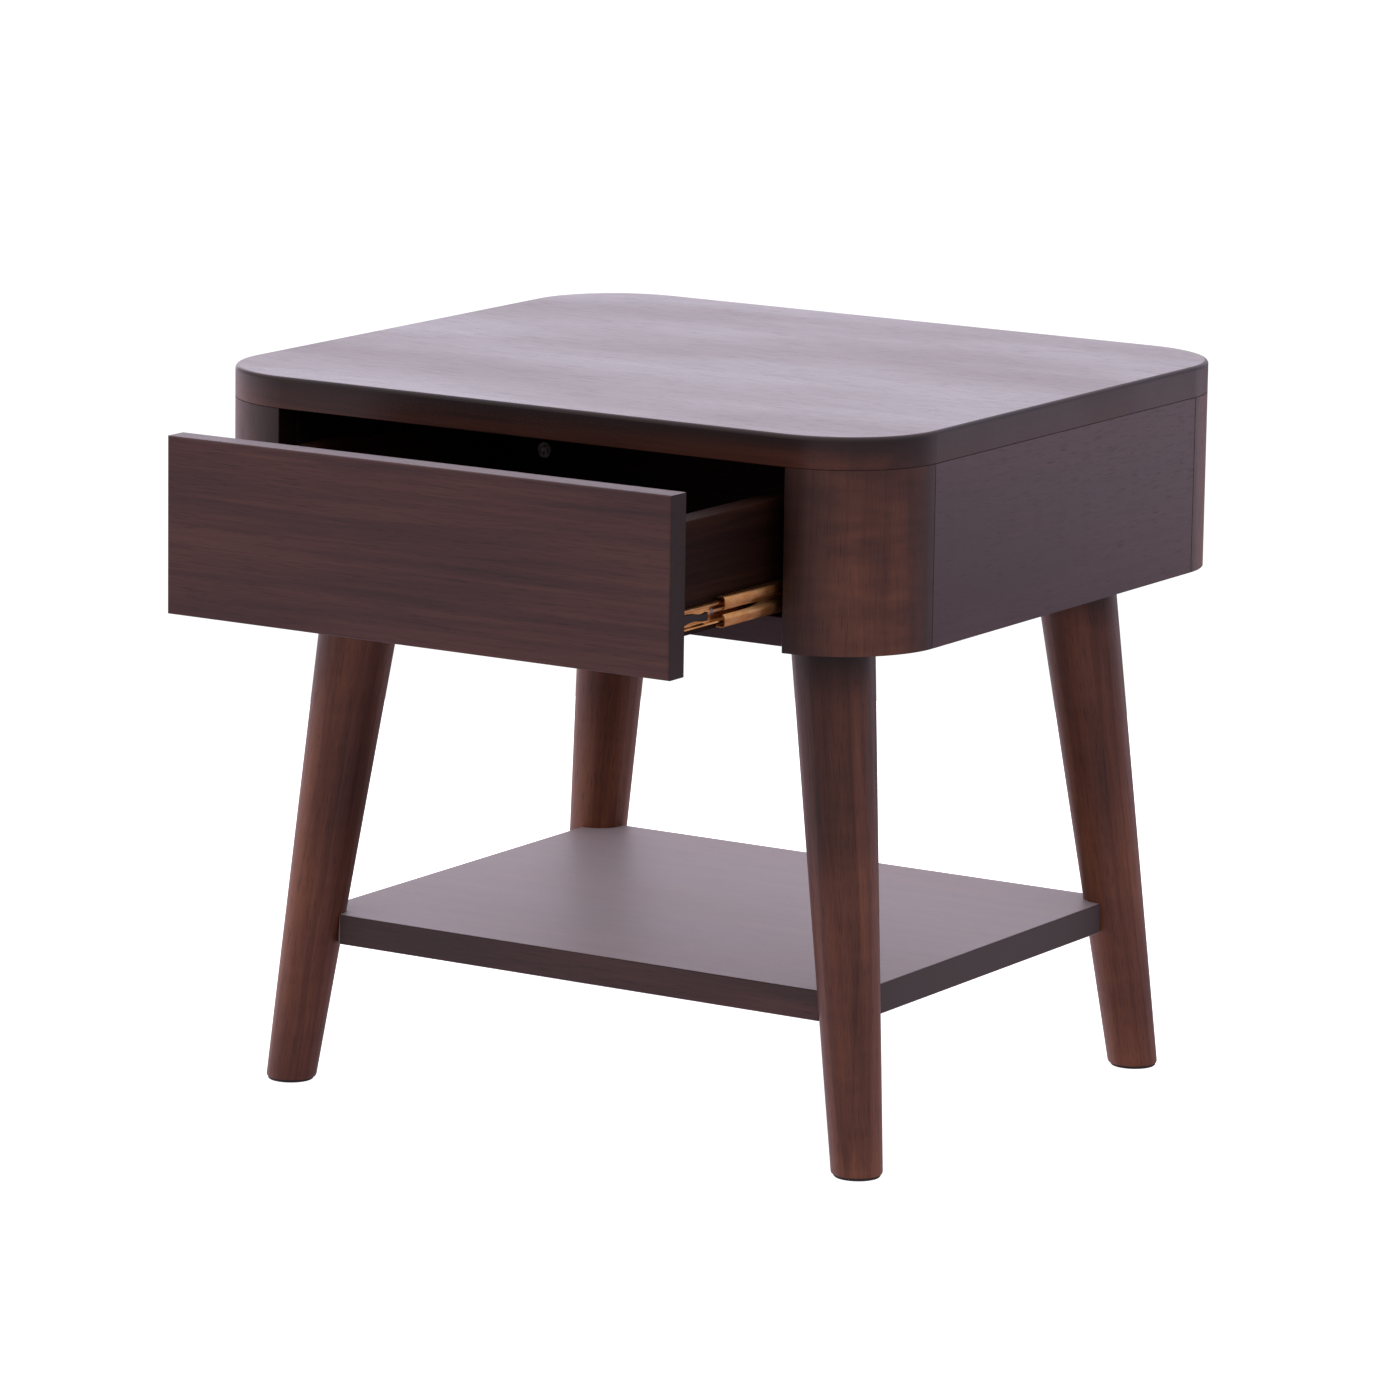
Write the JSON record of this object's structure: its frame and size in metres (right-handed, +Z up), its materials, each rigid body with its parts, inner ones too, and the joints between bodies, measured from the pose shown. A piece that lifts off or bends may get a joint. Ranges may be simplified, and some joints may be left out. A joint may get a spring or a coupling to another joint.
{
  "type": "side table with drawer",
  "caption": "Low wooden side table with rounded case corners, splayed tapered round legs, a drawer on telescopic slides and a lower shelf.",
  "frame": {"origin": "on the floor, under the middle of the top, with the drawer standing open as drawn", "axes": "+X to the right of a person facing the drawer front, +Y from the front to the back, +Z up"},
  "size_m": [0.6, 0.693, 0.555],
  "materials": {
    "case_wood": "dark walnut stain under satin lacquer",
    "leg_wood": "dark walnut stain under satin lacquer",
    "inner_wood": "stained, unlacquered",
    "drawer_wood": "stained, thin lacquer",
    "plywood": "stained plywood",
    "dowel_wood": "bare beech",
    "slide_steel": "yellow passivated zinc",
    "zinc_steel": "bright zinc",
    "lever_plastic": "black moulded",
    "glide_plastic": "dark moulded"
  },
  "bodies": {
    "carcass": {"top_slab": "case_wood", "back_panel": "case_wood", "bottom_board": "case_wood", "front_rail": "case_wood", "shelf": "case_wood", "case_dowels": "dowel_wood", "shelf_dowels": "dowel_wood", "leg_bolts": "zinc_steel", "leg_inserts": "zinc_steel", "glide_nails": "zinc_steel", "top_screws": "zinc_steel", "divider_screws": "zinc_steel", "cabinet_slide_screws": "zinc_steel", "side_panel_left": "case_wood", "slide_divider_left": "inner_wood", "top_batten_left": "inner_wood", "slide_cabinet_member_left": "slide_steel", "corner_block_front_left": "case_wood", "leg_front_left": "leg_wood", "foot_glide_front_left": "glide_plastic", "corner_block_back_left": "case_wood", "leg_back_left": "leg_wood", "foot_glide_back_left": "glide_plastic", "side_panel_right": "case_wood", "slide_divider_right": "inner_wood", "top_batten_right": "inner_wood", "slide_cabinet_member_right": "slide_steel", "corner_block_front_right": "case_wood", "leg_front_right": "leg_wood", "foot_glide_front_right": "glide_plastic", "corner_block_back_right": "case_wood", "leg_back_right": "leg_wood", "foot_glide_back_right": "glide_plastic"},
    "drawer": {"drawer_front": "case_wood", "drawer_back": "drawer_wood", "drawer_bottom": "plywood", "drawer_dowels": "dowel_wood", "drawer_cams": "zinc_steel", "drawer_cam_bolts": "zinc_steel", "drawer_slide_screws": "zinc_steel", "drawer_side_left": "drawer_wood", "slide_drawer_member_left": "slide_steel", "release_lever_left": "lever_plastic", "drawer_side_right": "drawer_wood", "slide_drawer_member_right": "slide_steel", "release_lever_right": "lever_plastic"},
    "middle_member_left": {"slide_middle_member_left": "slide_steel"},
    "outer_cage_left": {"outer_ball_cage_left": "slide_steel", "outer_balls_left": "zinc_steel"},
    "inner_cage_left": {"inner_ball_cage_left": "slide_steel", "inner_balls_left": "zinc_steel"},
    "middle_member_right": {"slide_middle_member_right": "slide_steel"},
    "outer_cage_right": {"outer_ball_cage_right": "slide_steel", "outer_balls_right": "zinc_steel"},
    "inner_cage_right": {"inner_ball_cage_right": "slide_steel", "inner_balls_right": "zinc_steel"}
  },
  "joints": [
    {"name": "drawer_slide", "type": "slide", "parent": "carcass", "child": "drawer", "axis": [0, -1, 0], "range_m": [-0.145, 0.205]},
    {"name": "middle_member_left_slide", "type": "slide", "parent": "carcass", "child": "middle_member_left", "axis": [0, -1, 0], "range_m": [-0.09525, 0.13425]},
    {"name": "outer_cage_left_slide", "type": "slide", "parent": "carcass", "child": "outer_cage_left", "axis": [0, -1, 0], "range_m": [-0.04813, 0.06763]},
    {"name": "inner_cage_left_slide", "type": "slide", "parent": "carcass", "child": "inner_cage_left", "axis": [0, -1, 0], "range_m": [-0.12062, 0.17012]},
    {"name": "middle_member_right_slide", "type": "slide", "parent": "carcass", "child": "middle_member_right", "axis": [0, -1, 0], "range_m": [-0.09525, 0.13425]},
    {"name": "outer_cage_right_slide", "type": "slide", "parent": "carcass", "child": "outer_cage_right", "axis": [0, -1, 0], "range_m": [-0.04813, 0.06763]},
    {"name": "inner_cage_right_slide", "type": "slide", "parent": "carcass", "child": "inner_cage_right", "axis": [0, -1, 0], "range_m": [-0.12062, 0.17012]}
  ],
  "couplings": [
    {"joint": "middle_member_left_slide", "follows": "drawer_slide", "ratio": 0.65},
    {"joint": "outer_cage_left_slide", "follows": "drawer_slide", "ratio": 0.325},
    {"joint": "inner_cage_left_slide", "follows": "drawer_slide", "ratio": 0.825},
    {"joint": "middle_member_right_slide", "follows": "drawer_slide", "ratio": 0.65},
    {"joint": "outer_cage_right_slide", "follows": "drawer_slide", "ratio": 0.325},
    {"joint": "inner_cage_right_slide", "follows": "drawer_slide", "ratio": 0.825}
  ]
}
